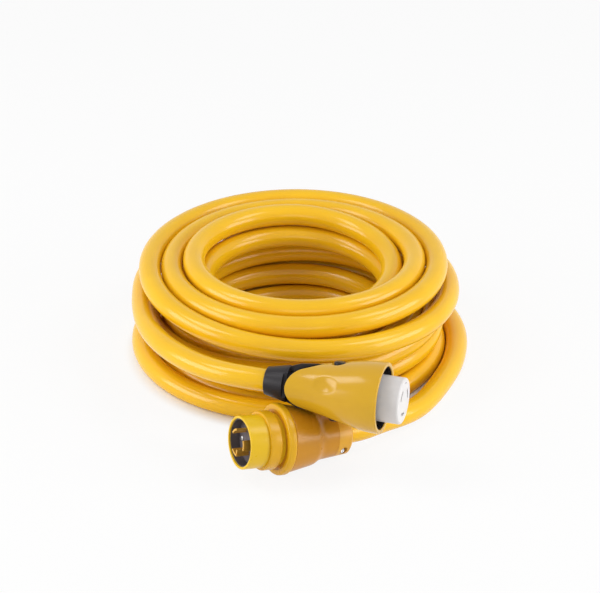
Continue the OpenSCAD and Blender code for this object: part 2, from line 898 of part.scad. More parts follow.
module collar_ring()
    color("gold")
        at_plug()
            spun([
                [sleeve_seat_r, ring_x - ring_length], [sleeve_r + ring_rise - 1, ring_x - ring_length],
                [sleeve_r + ring_rise, ring_x - ring_length + 1], [sleeve_r + ring_rise, ring_x - 2],
                [sleeve_r + ring_rise - 2, ring_x - seat_gap], [sleeve_seat_r, ring_x - seat_gap]
            ]);

// Dark disc whose face lies deep in the sleeve and holds the blades

carrier_r = liner_r - liner_t - seat_gap;
blade_angles = [15, 135];
bent_blade_angle = 255;
all_blade_angles = concat(blade_angles, [bent_blade_angle]);
face_screw_angles = [75, 195, 315];

module blade_carrier()
    color("dimgray")
        at_plug()
            difference() {
                washer(shoulder_x + seat_gap, -face_depth, carrier_r);
                for (a = blade_angles)
                    blade(a, seat_gap);
                bent_blade(seat_gap);
                for (a = face_screw_angles)
                    rod(shoulder_x - 1, 0, screw_r + seat_gap, face_screw_circle_r, a);
            }

// Plate behind the shoulder of the cover that the face screws pull against

plate_x = shoulder_x - shoulder_t - seat_gap;

module carrier_plate()
    color("gray")
        at_plug()
            difference() {
                washer(plate_x - plate_t, plate_x, cavity_r - seat_gap);
                for (a = blade_angles)
                    blade(a, seat_gap);
                bent_blade(seat_gap);
                for (a = face_screw_angles)
                    rod(plate_x - plate_t - 1, 0, screw_r + press_gap, face_screw_circle_r, a);
            }

// A curved brass blade, grown by a clearance where it cuts its own slot

module blade(angle, grow = 0)
    arc_wall(blade_root_x, blade_tip_x, blade_circle_r, blade_t + 2 * grow, blade_arc + 2 * grow, angle);

// The third blade has a leg that turns towards the axis
module bent_blade(grow = 0) {
    leg = 6.5;
    leg_angle = 7;
    leg_inset = 0.8;
    blade(bent_blade_angle, grow);
    rotate([bent_blade_angle + blade_arc - leg_angle, 0, 0])
        translate([blade_root_x + leg_inset, blade_circle_r - leg - grow, -blade_t / 2 - grow])
            cube([blade_tip_x - blade_root_x - 2 * leg_inset, leg + grow, blade_t + 2 * grow]);
}

plug_stub_x = blade_root_x - terminal_screw_length - 1;
stub_overlap = 1.6;

// Stub behind a blade, bored for its terminal screw and joined to the blade by a short overlap
module blade_stub(angle)
    rotate([angle, 0, 0])
        difference() {
            rod(plug_stub_x, blade_root_x + stub_overlap, stub_r, blade_circle_r);
            rod(plug_stub_x - 1, plug_stub_x + terminal_screw_length + 0.5, screw_r + press_gap,
                blade_circle_r);
        }

module line_blades()
    color("goldenrod")
        at_plug()
            for (a = blade_angles) {
                blade(a);
                blade_stub(a);
            }

module neutral_blade()
    color("goldenrod")
        at_plug() {
            bent_blade();
            blade_stub(bent_blade_angle);
        }

face_screw_head_t = 1.8;

module face_screws()
    color("silver")
        at_plug()
            for (a = face_screw_angles)
                rotate([a, 0, 0])
                    translate([-face_depth + face_screw_head_t, face_screw_circle_r, 0])
                        pan_screw(-face_depth - plate_x + plate_t, screw_r, 1.9 * screw_r, face_screw_head_t);

module plug_terminal_screws()
    color("silver")
        at_plug()
            for (a = all_blade_angles)
                rotate([a, 0, 0])
                    translate([plug_stub_x - terminal_head_t, blade_circle_r, 0])
                        mirror([1, 0, 0])
                            pan_screw(terminal_screw_length, screw_r, stub_r, terminal_head_t);

// Rubber ring that seals the cable in the neck

module gland_seal()
    color("black")
        at_plug()
            washer(seal_x - seal_length, seal_x, seal_r, plug_bore_r);

module plug_wires()
    color("firebrick")
        at_plug()
            for (a = all_blade_angles)
                wire(plug_cable_end_x + 0.1, plug_stub_x - terminal_head_t - 0.1, blade_circle_r - 0.6, a);

cable_coil();
connector_lead();
plug_lead();
connector_core();
strain_relief();
contact_carrier();
carrier_base();
line_contacts();
neutral_contact();
ground_clip();
connector_terminal_screws();
carrier_screws();
face_gasket();
jaw_near();
jaw_far();
hinge_pins();
spring_near();
spring_far();
connector_wires();
plug_cover();
grip_flange();
plug_sleeve();
ground_liner();
collar_ring();
blade_carrier();
carrier_plate();
line_blades();
neutral_blade();
face_screws();
plug_terminal_screws();
clamp_saddle();
clamp_screws();
gland_seal();
plug_wires();
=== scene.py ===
"""Looks of the shore power cord: a pile of loops of yellow cable, a locking connector and a sleeved plug.

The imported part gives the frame. Lengths are in metres, +Z is up and the two ends lie on the -Y side.
"""

import math

import bmesh
import bpy
import numpy as np
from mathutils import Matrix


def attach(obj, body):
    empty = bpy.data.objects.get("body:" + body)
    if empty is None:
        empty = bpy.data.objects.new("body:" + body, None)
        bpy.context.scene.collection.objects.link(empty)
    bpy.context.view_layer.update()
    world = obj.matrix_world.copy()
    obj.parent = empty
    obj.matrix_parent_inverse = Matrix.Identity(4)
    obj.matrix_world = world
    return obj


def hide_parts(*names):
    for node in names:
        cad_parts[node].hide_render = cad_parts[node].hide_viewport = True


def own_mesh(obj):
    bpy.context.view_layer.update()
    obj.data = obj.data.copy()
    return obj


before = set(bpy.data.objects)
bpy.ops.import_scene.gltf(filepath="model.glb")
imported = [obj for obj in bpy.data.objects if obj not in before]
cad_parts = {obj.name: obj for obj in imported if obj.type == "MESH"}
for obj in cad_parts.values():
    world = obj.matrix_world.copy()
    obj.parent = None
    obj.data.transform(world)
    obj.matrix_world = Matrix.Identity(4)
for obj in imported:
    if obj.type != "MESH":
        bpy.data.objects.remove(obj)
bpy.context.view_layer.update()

MM = 0.001
# Slack for comparing places
ROUND_OFF = 1e-9

# Cable and pile of loops, as in the part's source
CABLE_D = 26 * MM
CABLE_R = CABLE_D / 2
LOOP_PITCH = CABLE_D + 0.8 * MM
FLOOR_FLAT = CABLE_D / 10
FLOOR_Z = CABLE_R - FLOOR_FLAT
FIRST_LOOP_R = 203 * MM
LAYER_TURNS = np.array([3.66, 2.92, 2.5, 1.0, 2.75, 0.7])
LAYER_DRIFT = np.array([-1, 1, -1, 0, 1, 0])
LAYER_CLIMB = np.array([1, 1, 1, 1, -1])
CLIMB_TURNS = 0.5
LAYER_STEP = np.array([1.2, -1.5]) * MM
MIDDLE_LAYER = 2
COIL_CENTER = np.array([-3, 66.3, 0]) * MM
COIL_START_ANGLE = math.radians(-30)

# How the loose pile departs from even loops: turns counted along the cable, and the change of height or
# radius there. The innermost top loops spring up, the last loop sags on the slope of the pile, and the floor
# loop spreads.
LIFT_TURNS = np.array([8.9, 9.25, 9.6, 9.85, 10.15, 10.6, 10.85, 11.25, 12.6, 13.08, 13.3, 13.53])
LIFT_HEIGHTS = np.array([0, 5, 7.8, 7.8, 4.6, 8, 8, 0, 0, -5.5, -10, -8.5]) * MM
SPREAD_TURNS = np.array([0.05, 0.12, 0.33, 0.58, 0.85, 12.85, 13.08, 13.3, 13.5])
SPREAD_RADII = np.array([0, 1.2, 0, 3, 0, 0, -4, -4, 0]) * MM

# Places of the connector and of the plug
CONNECTOR_HINGE = np.array([43.5, -216.7, 99.5]) * MM
CONNECTOR_YAW = math.radians(-17)
CONNECTOR_ROLL = math.radians(-20)
RELIEF_END_X = -85 * MM
CONNECTOR_CABLE_END_X = -62 * MM
FLANGE_R = 42 * MM
FLANGE_BACK_X = -52.4 * MM
PLUG_TILT = math.radians(9)
PLUG_YAW = math.radians(206)
PLUG_RIM = np.array([
    -68.5 * MM,
    -248.7 * MM,
    FLANGE_R * math.cos(PLUG_TILT) - FLANGE_BACK_X * math.sin(PLUG_TILT),
])
PLUG_LENGTH = 135 * MM
PLUG_CABLE_END_X = -98 * MM

# Points that the two free leads pass
CONNECTOR_ROUTE = np.array([
    [-192.5, 61, 82.5], [-190.5, 13, 83], [-180.5, -44, 86.5], [-156.5, -100, 91], [-120.5, -145, 94],
    [-82.5, -175, 98],
]) * MM
PLUG_ROUTE = np.array([[91.5, -159, 24], [117.5, -136, 18], [143.5, -104, 13]]) * MM


def unit(v):
    """Vectors of length one along the last axis."""
    return v / np.linalg.norm(v, axis=-1, keepdims=True)


def smooth_step(t):
    """Zero up to 0, one from 1 on, and a smooth S between them."""
    c = np.clip(t, 0, 1)
    return c * c * (3 - 2 * c)


def turn_x(angle):
    """Matrix that turns a column vector about X."""
    c, s = math.cos(angle), math.sin(angle)
    return np.array([[1, 0, 0], [0, c, -s], [0, s, c]])


def turn_y(angle):
    """Matrix that turns a column vector about Y."""
    c, s = math.cos(angle), math.sin(angle)
    return np.array([[c, 0, s], [0, 1, 0], [-s, 0, c]])


def turn_z(angle):
    """Matrix that turns a column vector about Z."""
    c, s = math.cos(angle), math.sin(angle)
    return np.array([[c, -s, 0], [s, c, 0], [0, 0, 1]])


CONNECTOR_TURN = turn_z(CONNECTOR_YAW) @ turn_x(CONNECTOR_ROLL)
PLUG_TURN = turn_z(PLUG_YAW) @ turn_y(-PLUG_TILT)


def at_connector(points):
    """Points of the connector's own frame, X along its axis from the hinge, placed in the part's frame."""
    return points @ CONNECTOR_TURN.T + CONNECTOR_HINGE


def at_plug(points):
    """Points of the plug's own frame, X along its axis from the rim, placed in the part's frame."""
    return points @ PLUG_TURN.T + PLUG_RIM


def on_connector(x):
    """A point on the connector's axis."""
    return at_connector(np.array([x, 0, 0]))


def on_plug(x):
    """A point on the plug's axis."""
    return at_plug(np.array([x, 0, 0]))


# Meshes from grids of points

MERGE_DISTANCE = 1e-6
# The most of a side that one rounded corner takes
MOST_CUT = 0.49


def grid_faces(rows, cols, wrap_cols):
    """Quads between neighbouring rows and columns of a grid, closed round the columns where asked."""
    i = np.arange(rows - 1)[:, None]
    k = np.arange(cols if wrap_cols else cols - 1)[None, :]
    after = (k + 1) % cols
    quads = np.stack([i * cols + k, i * cols + after, (i + 1) * cols + after, (i + 1) * cols + k], -1)
    return quads.reshape(-1, 4)


def make_piece(name, grids, material, smooth_angle=None, shade_marks=None):
    """One mesh object from grids (points, wrap_cols, caps).

    Each grid is an array of rows, columns and XYZ. A cap closes the first or the last row with one face.
    Values for painted shade, one for each point, go to an attribute that the material can read.
    """
    points, loops, totals, uvs = [], [], [], []
    offset = 0
    for grid, wrap, caps in grids:
        rows, cols = grid.shape[:2]
        quads = grid_faces(rows, cols, wrap)
        points.append(grid.reshape(-1, 3))
        loops.append(quads.ravel() + offset)
        totals.append(np.full(len(quads), 4))
        i, k = np.divmod(np.arange(len(quads)), cols if wrap else cols - 1)
        corner_k = np.stack([k, k + 1, k + 1, k], -1) / (cols if wrap else cols - 1)
        corner_i = np.stack([i, i, i + 1, i + 1], -1) / (rows - 1)
        uvs.append(np.stack([corner_i, corner_k], -1).reshape(-1, 2))
        ring = np.arange(cols) + offset
        if "first" in caps:
            loops.append(ring[::-1])
            totals.append(np.array([cols]))
            uvs.append(np.zeros((cols, 2)))
        if "last" in caps:
            loops.append(ring + (rows - 1) * cols)
            totals.append(np.array([cols]))
            uvs.append(np.ones((cols, 2)))
        offset += rows * cols
    points = np.concatenate(points)
    loops = np.concatenate(loops).astype(np.int32)
    totals = np.concatenate(totals).astype(np.int32)
    mesh = bpy.data.meshes.new(name)
    mesh.vertices.add(len(points))
    mesh.vertices.foreach_set("co", points.astype(np.float32).ravel())
    mesh.loops.add(len(loops))
    mesh.loops.foreach_set("vertex_index", loops)
    mesh.polygons.add(len(totals))
    mesh.polygons.foreach_set("loop_start", np.concatenate([[0], np.cumsum(totals)[:-1]]).astype(np.int32))
    mesh.update(calc_edges=True)
    layer = mesh.uv_layers.new(name="surface")
    layer.data.foreach_set("uv", np.concatenate(uvs).astype(np.float32).ravel())
    mesh.polygons.foreach_set("use_smooth", np.ones(len(totals), dtype=bool))
    if shade_marks is not None:
        shade_mark = mesh.attributes.new("shade_mark", "FLOAT", "POINT")
        shade_mark.data.foreach_set("value", np.concatenate([m.ravel() for m in shade_marks]).astype(np.float32))
    merged = bmesh.new()
    merged.from_mesh(mesh)
    bmesh.ops.remove_doubles(merged, verts=merged.verts, dist=MERGE_DISTANCE)
    bmesh.ops.recalc_face_normals(merged, faces=merged.faces)
    merged.to_mesh(mesh)
    merged.free()
    if smooth_angle is not None:
        mesh.set_sharp_from_angle(angle=math.radians(smooth_angle))
    mesh.materials.append(material)
    piece = bpy.data.objects.new(name, mesh)
    bpy.context.scene.collection.objects.link(piece)
    return piece


def spun_grid(profile, start=0.0, sweep=2 * math.pi, count=96):
    """A closed profile of [x, radius] points carried round the X axis, one row for each angle."""
    a = np.linspace(start, start + sweep, count + 1)[:, None]
    x, r = np.asarray(profile, dtype=float).T
    return np.stack([np.broadcast_to(x, (len(a), len(x))), r * np.cos(a), r * np.sin(a)], -1)


def rounded_profile(corners, steps=5):
    """A closed outline of [x, radius, rounding] corners, each replaced by a curve that touches both sides."""
    corners = np.asarray(corners, dtype=float)
    points, rounding = corners[:, :2], corners[:, 2:]
    before, after = np.roll(points, 1, axis=0) - points, np.roll(points, -1, axis=0) - points
    reach = np.minimum(np.linalg.norm(before, axis=1), np.linalg.norm(after, axis=1))[:, None]
    cut = np.minimum(rounding, MOST_CUT * reach)
    t = np.linspace(0, 1, steps)[None, :, None]
    first, last = (points + cut * unit(before))[:, None], (points + cut * unit(after))[:, None]
    curve = (1 - t) ** 2 * first + 2 * t * (1 - t) * points[:, None] + t ** 2 * last
    return curve.reshape(-1, 2)


# The cable's centre line

CORD_STEP = 6 * MM
JOIN_LENGTH = 64 * MM
MEAN_LOOP_R = 160 * MM
ROUNDING_PASSES = 20


def coil_layer(u):
    """Layer of the pile after u turns: each step up or down takes half a turn round the end of a layer."""
    ends = np.cumsum(LAYER_TURNS)[:-1]
    climbed = np.clip((u[:, None] - ends) / CLIMB_TURNS + 0.5, 0, 1)
    return climbed @ LAYER_CLIMB


def eased(u, turns, values):
    """The value after u turns: given values at given turns, joined by smooth S curves."""
    total = np.full(len(u), float(values[0]))
    for start, end, change in zip(turns[:-1], turns[1:], np.diff(values)):
        total += change * smooth_step((u - start) / (end - start))
    return total


def coil_line(step):
    """Centre line of the pile: a circle whose radius drifts one pitch a turn, at the height of its layer.

    The spread and the lift of a loose pile are added to the radius and the height.
    """
    turns = LAYER_TURNS.sum()
    u = np.linspace(0, turns, int(turns * 2 * math.pi * MEAN_LOOP_R / step))
    knots = np.concatenate([[0], np.cumsum(LAYER_TURNS)])
    radii = FIRST_LOOP_R + np.concatenate([[0], np.cumsum(LAYER_TURNS * LAYER_DRIFT * LOOP_PITCH)])
    r = np.interp(u, knots, radii) + eased(u, SPREAD_TURNS, SPREAD_RADII)
    a = COIL_START_ANGLE + 2 * math.pi * u
    layer = coil_layer(u)
    return COIL_CENTER + np.stack([
        r * np.cos(a) + LAYER_STEP[0] * (layer - MIDDLE_LAYER),
        r * np.sin(a) + LAYER_STEP[1] * (layer - MIDDLE_LAYER),
        FLOOR_Z + LOOP_PITCH * layer + eased(u, LIFT_TURNS, LIFT_HEIGHTS),
    ], -1)


def through_points(points, step):
    """Centripetal Catmull-Rom curve through the points, sampled at about one step."""
    ends = np.concatenate([[2 * points[0] - points[1]], points, [2 * points[-1] - points[-2]]])
    spans = []
    for p0, p1, p2, p3 in zip(ends[:-3], ends[1:-2], ends[2:-1], ends[3:]):
        t0 = 0.0
        t1 = t0 + math.sqrt(np.linalg.norm(p1 - p0))
        t2 = t1 + math.sqrt(np.linalg.norm(p2 - p1))
        t3 = t2 + math.sqrt(np.linalg.norm(p3 - p2))
        count = max(2, int(np.linalg.norm(p2 - p1) / step))
        t = np.linspace(t1, t2, count, endpoint=False)[:, None]
        a1 = (t1 - t) / (t1 - t0) * p0 + (t - t0) / (t1 - t0) * p1
        a2 = (t2 - t) / (t2 - t1) * p1 + (t - t1) / (t2 - t1) * p2
        a3 = (t3 - t) / (t3 - t2) * p2 + (t - t2) / (t3 - t2) * p3
        b1 = (t2 - t) / (t2 - t0) * a1 + (t - t0) / (t2 - t0) * a2
        b2 = (t3 - t) / (t3 - t1) * a2 + (t - t1) / (t3 - t1) * a3
        spans.append((t2 - t) / (t2 - t1) * b1 + (t - t1) / (t2 - t1) * b2)
    return np.concatenate(spans + [points[-1:]])


def even_line(points, step):
    """The same line with its points one step apart along its length."""
    along = np.concatenate([[0], np.cumsum(np.linalg.norm(np.diff(points, axis=0), axis=1))])
    at = np.linspace(0, along[-1], int(along[-1] / step) + 1)
    return np.stack([np.interp(at, along, points[:, i]) for i in range(3)], -1)


def rounded_line(points, passes):
    """The line with its small corners rounded by repeated averaging of neighbours; its ends stay."""
    line = points.copy()
    for _ in range(passes):
        line[1:-1] = 0.25 * line[:-2] + 0.5 * line[1:-1] + 0.25 * line[2:]
    return line


def tube_grid(line, radius, sides):
    """Rings square to a line, set by its heading and the upright, and pressed flat on the floor."""
    heading = unit(np.gradient(line, axis=0))
    side = unit(np.cross(heading, [0, 0, 1]))
    top = np.cross(side, heading)
    a = 2 * math.pi * np.arange(sides) / sides
    ring = np.cos(a)[None, :, None] * side[:, None] + np.sin(a)[None, :, None] * top[:, None]
    grid = line[:, None] + radius * ring
    grid[..., 2] = np.maximum(grid[..., 2], 0)
    return grid


def cable_line():
    """Centre line of the whole cable, from inside the connector through the pile to inside the plug.

    The plug's lead eases into the floor layer over the first JOIN_LENGTH of its outer loop.
    """
    coil = coil_line(CORD_STEP)
    first_step = np.linalg.norm(coil[1] - coil[0])
    coil = coil[int(JOIN_LENGTH / first_step):]
    plug_end = np.concatenate([
        [on_plug(PLUG_CABLE_END_X), on_plug(-PLUG_LENGTH), on_plug(-PLUG_LENGTH - CABLE_D)],
        PLUG_ROUTE,
        [coil[0] - CABLE_D * unit(coil[1] - coil[0]), coil[0]],
    ])
    connector_end = np.concatenate([
        [coil[-1], coil[-1] + CABLE_D * unit(coil[-1] - coil[-2])],
        CONNECTOR_ROUTE,
        [on_connector(RELIEF_END_X), on_connector(CONNECTOR_CABLE_END_X)],
    ])
    whole = np.concatenate([
        through_points(plug_end, CORD_STEP)[:-1],
        coil[:-1],
        through_points(connector_end, CORD_STEP),
    ])
    return rounded_line(even_line(whole, CORD_STEP), ROUNDING_PASSES)[::-1]


# Shader node helpers

CLOUD_SCALE = 18
GRAIN_SCALE = 900
BUMP_DISTANCE = 0.4 * MM
# Sockets of a colour mix node, which share their names with those of its other kinds
MIX_SHARE, MIX_FIRST, MIX_SECOND, MIX_RESULT = 0, 6, 7, 2


def node(tree, kind, **values):
    """A shader node with its sockets and settings given by name."""
    made = tree.nodes.new(kind)
    for key, value in values.items():
        if key in made.inputs:
            made.inputs[key].default_value = value
        else:
            setattr(made, key, value)
    return made


def skin_group():
    """Shared effect: cloudy tint, small roughness changes and fine bumps of moulded plastic and rubber."""
    tree = bpy.data.node_groups.new("moulded_skin", "ShaderNodeTree")
    tree.interface.new_socket("Vector", in_out="INPUT", socket_type="NodeSocketVector")
    tree.interface.new_socket("Cloud", in_out="OUTPUT", socket_type="NodeSocketFloat")
    tree.interface.new_socket("Grain", in_out="OUTPUT", socket_type="NodeSocketFloat")
    start = node(tree, "NodeGroupInput")
    end = node(tree, "NodeGroupOutput")
    cloud = node(tree, "ShaderNodeTexNoise", Scale=CLOUD_SCALE, Detail=3.0, Roughness=0.55)
    fine = node(tree, "ShaderNodeTexNoise", Scale=GRAIN_SCALE, Detail=2.0, Roughness=0.6)
    spread = node(tree, "ShaderNodeMapRange")
    spread.inputs["From Min"].default_value = 0.3
    spread.inputs["From Max"].default_value = 0.7
    tree.links.new(start.outputs["Vector"], cloud.inputs["Vector"])
    tree.links.new(start.outputs["Vector"], fine.inputs["Vector"])
    tree.links.new(cloud.outputs["Fac"], spread.inputs["Value"])
    tree.links.new(spread.outputs["Result"], end.inputs["Cloud"])
    tree.links.new(fine.outputs["Fac"], end.inputs["Grain"])
    return tree


MOULDED_SKIN = skin_group()


def finish_material(name, light, dark, roughness, metallic=0.0, bump=0.05, rough_spread=0.08, specular=0.5,
                    painted_shade=None):
    """A surface whose colour drifts between two tones; its gloss and fine bumps come from the shared skin.

    The dark colour of painted shade, where there is one, takes over on the points that the mesh flags for
    shade.
    """
    made = bpy.data.materials.new(name)
    made.use_nodes = True
    tree = made.node_tree
    shader = tree.nodes["Principled BSDF"]
    place = node(tree, "ShaderNodeTexCoord")
    skin = node(tree, "ShaderNodeGroup", node_tree=MOULDED_SKIN)
    tint = node(tree, "ShaderNodeMix", data_type="RGBA")
    tint.inputs[MIX_FIRST].default_value = (*dark, 1)
    tint.inputs[MIX_SECOND].default_value = (*light, 1)
    gloss = node(tree, "ShaderNodeMapRange")
    gloss.inputs["To Min"].default_value = roughness
    gloss.inputs["To Max"].default_value = roughness + rough_spread
    relief = node(tree, "ShaderNodeBump", Strength=bump, Distance=BUMP_DISTANCE)
    tree.links.new(place.outputs["Object"], skin.inputs["Vector"])
    tree.links.new(skin.outputs["Cloud"], tint.inputs[MIX_SHARE])
    tree.links.new(skin.outputs["Cloud"], gloss.inputs["Value"])
    tree.links.new(skin.outputs["Grain"], relief.inputs["Height"])
    colour = tint.outputs[MIX_RESULT]
    # Painted shade: a dark colour replaces the tint where the mesh's shade attribute is set.
    if painted_shade is not None:
        shade_mark = node(tree, "ShaderNodeAttribute", attribute_name="shade_mark")
        inside_shade = node(tree, "ShaderNodeMix", data_type="RGBA")
        inside_shade.inputs[MIX_SECOND].default_value = (*painted_shade, 1)
        tree.links.new(shade_mark.outputs["Fac"], inside_shade.inputs[MIX_SHARE])
        tree.links.new(colour, inside_shade.inputs[MIX_FIRST])
        colour = inside_shade.outputs[MIX_RESULT]
    tree.links.new(colour, shader.inputs["Base Color"])
    tree.links.new(gloss.outputs["Result"], shader.inputs["Roughness"])
    tree.links.new(relief.outputs["Normal"], shader.inputs["Normal"])
    shader.inputs["Metallic"].default_value = metallic
    shader.inputs["Specular IOR Level"].default_value = specular
    return made


CABLE_JACKET = finish_material(
    "cable_jacket", (0.87, 0.51, 0.010), (0.83, 0.465, 0.008), 0.17, bump=0.02, rough_spread=0.06,
    specular=0.36,
)
# Jaw plastic; its near-black second colour is painted shade for the hollow inside the jaws.
YELLOW_SHELL = finish_material(
    "yellow_shell", (0.67, 0.38, 0.014), (0.63, 0.345, 0.012), 0.16, bump=0.02, specular=0.38,
    painted_shade=(0.035, 0.03, 0.03),
)
# Plug cover: its own amber tone, made somewhat darker as painted shade for the connector's shadow on its
# upper part.
AMBER_SHELL = finish_material(
    "amber_shell", (0.60, 0.265, 0.010), (0.54, 0.23, 0.008), 0.24, bump=0.02, specular=0.34
)
CLAMP_SHELL = finish_material(
    "clamp_shell", (0.76, 0.40, 0.030), (0.71, 0.36, 0.025), 0.28, bump=0.02, specular=0.4
)
BRIGHT_SHELL = finish_material(
    "bright_shell", (0.74, 0.40, 0.006), (0.70, 0.365, 0.006), 0.24, bump=0.02, specular=0.32
)
LEMON_SHELL = finish_material(
    "lemon_shell", (0.80, 0.51, 0.008), (0.76, 0.47, 0.008), 0.26, bump=0.02, specular=0.34
)
BLACK_RUBBER = finish_material(
    "black_rubber", (0.020, 0.016, 0.019), (0.013, 0.011, 0.013), 0.36, bump=0.1, specular=0.22
)
BLACK_PLASTIC = finish_material(
    "black_plastic", (0.018, 0.016, 0.019), (0.012, 0.011, 0.013), 0.30, bump=0.05, specular=0.25
)
WHITE_INSERT = finish_material("white_insert", (0.74, 0.715, 0.705), (0.70, 0.675, 0.665), 0.34, bump=0.02)
GREY_FACE = finish_material("grey_face", (0.12, 0.10, 0.11), (0.095, 0.08, 0.088), 0.42, bump=0.05)
# Steel liner coloured dark grey: painted shade of the recess inside the plug.
LINER_METAL = finish_material(
    "liner_metal", (0.17, 0.15, 0.16), (0.13, 0.115, 0.12), 0.34, metallic=0.6, bump=0.02
)
BRASS = finish_material("brass", (0.86, 0.50, 0.08), (0.80, 0.44, 0.06), 0.30, metallic=0.7, bump=0.02)
STEEL = finish_material("plated_steel", (0.66, 0.66, 0.68), (0.56, 0.56, 0.58), 0.26, metallic=1.0, bump=0.02)
WIRE_SHEATH = finish_material("wire_sheath", (0.22, 0.03, 0.025), (0.16, 0.02, 0.02), 0.4)

NODE_FINISHES = {
    CABLE_JACKET: ["cable_coil", "connector_lead", "plug_lead"],
    YELLOW_SHELL: ["jaw_near", "jaw_far"],
    AMBER_SHELL: ["plug_cover"],
    CLAMP_SHELL: ["clamp_saddle"],
    BRIGHT_SHELL: ["collar_ring", "grip_flange"],
    LEMON_SHELL: ["plug_sleeve"],
    BLACK_RUBBER: ["strain_relief", "face_gasket", "gland_seal"],
    BLACK_PLASTIC: ["connector_core", "hinge_pins"],
    WHITE_INSERT: ["contact_carrier"],
    GREY_FACE: ["blade_carrier", "carrier_plate", "carrier_base"],
    BRASS: ["line_contacts", "neutral_contact", "line_blades", "neutral_blade"],
    STEEL: [
        "ground_clip", "connector_terminal_screws", "carrier_screws", "spring_near", "spring_far",
        "face_screws", "plug_terminal_screws", "clamp_screws",
    ],
    LINER_METAL: ["ground_liner"],
    WIRE_SHEATH: ["connector_wires", "plug_wires"],
}
for finish, names in NODE_FINISHES.items():
    for name in names:
        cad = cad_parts[name]
        cad.data.materials.clear()
        cad.data.materials.append(finish)

# Camera at the photograph's angle

AIM = np.array([-0.5, 63.3, 23]) * MM
CAMERA_ELEVATION = math.radians(29)
CAMERA_DISTANCE = 3.7
IMAGE_W, IMAGE_H = 600, 593
AIM_PIXEL = (299, 331)
METRES_PER_PIXEL = 1.24 * MM

camera_data = bpy.data.cameras.new("camera")
camera_data.sensor_width = 36
camera_data.lens = camera_data.sensor_width * CAMERA_DISTANCE / (IMAGE_W * METRES_PER_PIXEL)
camera_data.shift_x = (IMAGE_W / 2 - AIM_PIXEL[0]) / IMAGE_W
camera_data.shift_y = (AIM_PIXEL[1] - IMAGE_H / 2) / IMAGE_W
camera = bpy.data.objects.new("camera", camera_data)
bpy.context.scene.collection.objects.link(camera)
camera.location = AIM + CAMERA_DISTANCE * np.array(
    [0, -math.cos(CAMERA_ELEVATION), math.sin(CAMERA_ELEVATION)]
)
camera.rotation_euler = (math.pi / 2 - CAMERA_ELEVATION, 0, 0)
bpy.context.scene.camera = camera

# The cable

CORD_SIDES = 24
# The jacket fills most of the small gap that the solids keep between loops
JACKET_SPARE = 0.35 * MM
line = cable_line()
cable = make_piece(
    "cable", [(tube_grid(line, CABLE_R + JACKET_SPARE, CORD_SIDES), True, ("first", "last"))], CABLE_JACKET
)
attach(cable, "cord")
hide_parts("cable_coil", "connector_lead", "plug_lead")

# Jaws of the connector

MOUTH_R = 41.4 * MM
HANDLE_R = 26.6 * MM
JAW_WALL = 3.2 * MM
MOUTH_X = 56 * MM
HANDLE_X = 56 * MM
HANDLE_END_R = 24 * MM
OUTLINE_SLOPE = math.radians(18)
FLARE_START_X = -45 * MM
FLARE_END_X = 50 * MM
LIP_DEPTH = 1.6 * MM
LIP_LENGTH = 6 * MM
LIP_EASE = 0.5 * MM
# The last rows, from the start of the lip; the end comes twice, to close the front to the middle of the wall
LIP_ROWS = np.array([0.5, 1.5, 3.0, 4.4, 5.0, 5.4, 5.7, 5.9, 6.0, 6.0]) * MM
FRONT_ROUND = 1.2 * MM
INSIDE_DRAW = 0.7
# Width of the rim at the mouth that the painted shade leaves yellow
BARE_RIM = 1.5 * MM
TAIL_ROWS, HANDLE_ROWS, NOTCH_ROWS, FLARE_ROWS = 18, 16, 25, 20
HALF_GAP = 0.5 * MM
NOTCH_R = 10 * MM
WIDE_X = 2 * MM
DISH_X = -16 * MM
DISH_TURN = math.radians(20)
DISH_R = 40 * MM
DISH_DEPTH = 1.8 * MM
DISH_SOFT = 0.35 * MM
SPINE_ENDS_X = np.array([-55, -17]) * MM
SPINE_HALF = np.array([4, 0.4]) * MM
HANDLE_CLEAR = 0.4 * MM
SWING_ANGLE = math.radians(5.3)
JAW_EDGE = 0.8 * MM
MOST_EDGE = 0.45
EDGE_BENDS = np.radians([22.5, 45, 67.5])[None, :]
ARC_POINTS = 49
EAR_R = 9 * MM
EAR_T = 3 * MM
EAR_BORE_R = 4.05 * MM
EAR_CHAMFER = 0.4 * MM
EAR_POINTS = 48
SHELL_AT_HINGE_R = HANDLE_R + 3 * MM
LEAST_REACH = 11 * MM
WEB_ROOT = 0.75 * EAR_R
WEB_SHORTER = 0.5 * EAR_R
WEB_FACE_INSET = 0.05 * MM
WEB_END_INSET = 0.3 * MM
WEB_INSET = 0.6 * MM
INNER_EAR_Z = 24 * MM
OUTER_EAR_Z = 27.3 * MM


def jaw_radius(x):
    """Outside radius of the closed jaws: an S from the handles to the mouth."""
    return HANDLE_R + (MOUTH_R - HANDLE_R) * smooth_step((x - FLARE_START_X) / (FLARE_END_X - FLARE_START_X))


def jaw_half_angle(x, r):
    """Half the angle that a jaw spans, inside the teardrop outline, the parting gap and the hinge notch."""
    center = HANDLE_END_R - HANDLE_X
    touch_x = center - HANDLE_END_R * math.sin(OUTLINE_SLOPE)
    round_end = np.sqrt(np.maximum(HANDLE_END_R ** 2 - (x - center) ** 2, 0))
    flank = HANDLE_END_R * math.cos(OUTLINE_SLOPE) + (x - touch_x) * math.tan(OUTLINE_SLOPE)
    height = np.where(x < touch_x, round_end, np.where(x < WIDE_X, flank, 2 * MOUTH_R))
    swing_gap = np.interp(x, SPINE_ENDS_X, SPINE_HALF) + HANDLE_CLEAR - x * math.tan(SWING_ANGLE)
    parting = np.where(x < 0, np.maximum(swing_gap, HALF_GAP), HALF_GAP)
    free = np.maximum(parting, np.sqrt(np.maximum(NOTCH_R ** 2 - x ** 2, 0)))
    return np.minimum(np.arcsin(np.minimum(height / r, 1)), np.arccos(free / r))


